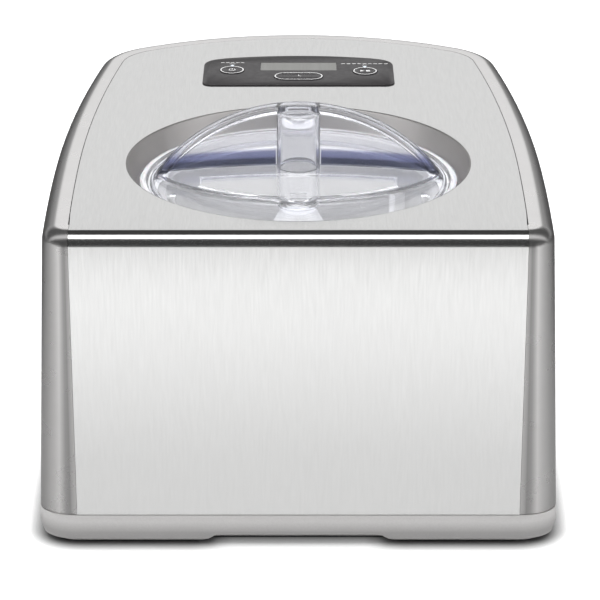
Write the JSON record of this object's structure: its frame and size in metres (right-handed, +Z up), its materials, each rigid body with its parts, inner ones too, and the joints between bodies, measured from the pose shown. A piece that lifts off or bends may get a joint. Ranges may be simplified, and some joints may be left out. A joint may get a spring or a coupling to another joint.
{
  "type": "ice cream maker",
  "caption": "Worktop compressor ice cream maker with a steel front and top, a clear lid with an arched handle, a lift-out bowl and a driven paddle.",
  "frame": {"origin": "on the table under the middle of the machine", "axes": "+Z up, the front panel faces -Y, +X to the right seen from the front"},
  "size_m": [0.318, 0.414, 0.2385],
  "materials": {
    "steel": "fine brushed",
    "housing_plastic": "satin silver-grey paint",
    "base_plastic": "satin silver-grey",
    "rubber": "matte",
    "clear_plastic": "clear moulded plastic",
    "seal": "translucent silicone",
    "white_plastic": "smooth",
    "panel_plastic": "satin dark grey",
    "button_plastic": "satin dark grey with pale outlines",
    "display_lens": "gloss window",
    "lamp": "frosted light pipe",
    "aluminium": "anodised",
    "bright_steel": "polished rod",
    "zinc": "plated screws",
    "gear_plastic": "self-lubricating",
    "grey_plastic": "moulded",
    "motor_black": "satin black",
    "copper": "drawn copper tube",
    "bronze": "sintered bush",
    "foam": "rigid foam",
    "circuit_board": "solder mask",
    "display_glass": "liquid crystal module",
    "component_black": "moulded"
  },
  "bodies": {
    "housing": {"base_tray": "base_plastic", "rubber_feet": "rubber", "steel_wrap": "steel", "housing_shell": "housing_plastic", "bowl_collar": "white_plastic", "control_panel": "panel_plastic", "display_window": "display_lens", "display_module": "display_glass", "control_board": "circuit_board", "tact_switches": "component_black", "power_lamp": "lamp", "start_stop_lamp": "lamp", "shaft_bush": "bronze", "gearbox_case": "grey_plastic", "gearbox_cover": "grey_plastic", "idler_pin": "bright_steel", "drive_motor": "motor_black", "bowl_cradle": "grey_plastic", "chilled_bowl": "aluminium", "evaporator_coil": "copper", "foam_jacket": "foam", "compressor": "motor_black", "compressor_grommets": "rubber", "condenser": "aluminium", "fan_shroud": "grey_plastic", "fan_motor": "motor_black", "filter_drier": "copper", "suction_line": "copper", "discharge_line": "copper", "capillary_tube": "copper", "power_board": "circuit_board", "cord_gland": "rubber", "base_screws": "zinc", "wall_brackets": "grey_plastic"},
    "lid_ring": {"lid_seal": "seal"},
    "lid": {"lid": "clear_plastic"},
    "spout_cover": {"spout_cover": "clear_plastic"},
    "bowl": {"mixing_bowl": "aluminium"},
    "bail": {"bowl_bail": "bright_steel"},
    "paddle": {"mixing_paddle": "white_plastic"},
    "drive": {"drive_shaft": "bright_steel", "drive_gear": "gear_plastic"},
    "idler": {"idler_gear": "gear_plastic"},
    "motor_rotor": {"motor_pinion": "gear_plastic"},
    "fan": {"fan_blades": "white_plastic"},
    "power_key": {"power_button": "button_plastic"},
    "timer_key": {"timer_button": "button_plastic"},
    "start_stop_key": {"start_stop_button": "button_plastic"}
  },
  "joints": [
    {"name": "lid_turn", "type": "hinge", "parent": "housing", "child": "lid_ring", "pos_m": [0, -0.076, 0.19], "axis": [0, 0, 1], "range_deg": [0, 24]},
    {"name": "lid_lift", "type": "slide", "parent": "lid_ring", "child": "lid", "axis": [0, 0, 1], "range_m": [0, 0.28]},
    {"name": "spout_cover_lift", "type": "slide", "parent": "lid", "child": "spout_cover", "axis": [0, 0, 1], "range_m": [0, 0.06]},
    {"name": "bowl_lift", "type": "slide", "parent": "housing", "child": "bowl", "axis": [0, 0, 1], "range_m": [0, 0.14]},
    {"name": "bail_swing", "type": "hinge", "parent": "bowl", "child": "bail", "pos_m": [0, -0.076, 0.175], "axis": [-1, 0, 0], "range_deg": [0, 90]},
    {"name": "paddle_spin", "type": "hinge", "parent": "bowl", "child": "paddle", "pos_m": [0, -0.076, 0.12], "axis": [0, 0, 1], "continuous": true},
    {"name": "drive_spin", "type": "hinge", "parent": "housing", "child": "drive", "pos_m": [0, -0.076, 0.051], "axis": [0, 0, 1], "continuous": true},
    {"name": "idler_spin", "type": "hinge", "parent": "housing", "child": "idler", "pos_m": [0.04, -0.076, 0.051], "axis": [0, 0, 1], "continuous": true},
    {"name": "motor_spin", "type": "hinge", "parent": "housing", "child": "motor_rotor", "pos_m": [0.0715, -0.076, 0.051], "axis": [0, 0, 1], "continuous": true},
    {"name": "fan_spin", "type": "hinge", "parent": "housing", "child": "fan", "pos_m": [0.072, 0.094, 0.058], "axis": [1, 0, 0], "continuous": true},
    {"name": "power_press", "type": "slide", "parent": "housing", "child": "power_key", "axis": [0, 0, -1], "range_m": [0, 0.0005], "stiffness_N_per_m": 800},
    {"name": "timer_press", "type": "slide", "parent": "housing", "child": "timer_key", "axis": [0, 0, -1], "range_m": [0, 0.0005], "stiffness_N_per_m": 800},
    {"name": "start_stop_press", "type": "slide", "parent": "housing", "child": "start_stop_key", "axis": [0, 0, -1], "range_m": [0, 0.0005], "stiffness_N_per_m": 800}
  ],
  "couplings": [
    {"joint": "bowl_lift", "follows": "lid_lift", "ratio": 0.5},
    {"joint": "bail_swing", "follows": "lid_lift", "rad_per_m": 5.6099},
    {"joint": "paddle_spin", "follows": "drive_spin", "ratio": 1},
    {"joint": "idler_spin", "follows": "drive_spin", "ratio": -2.3333},
    {"joint": "motor_spin", "follows": "drive_spin", "ratio": 5.8333}
  ]
}
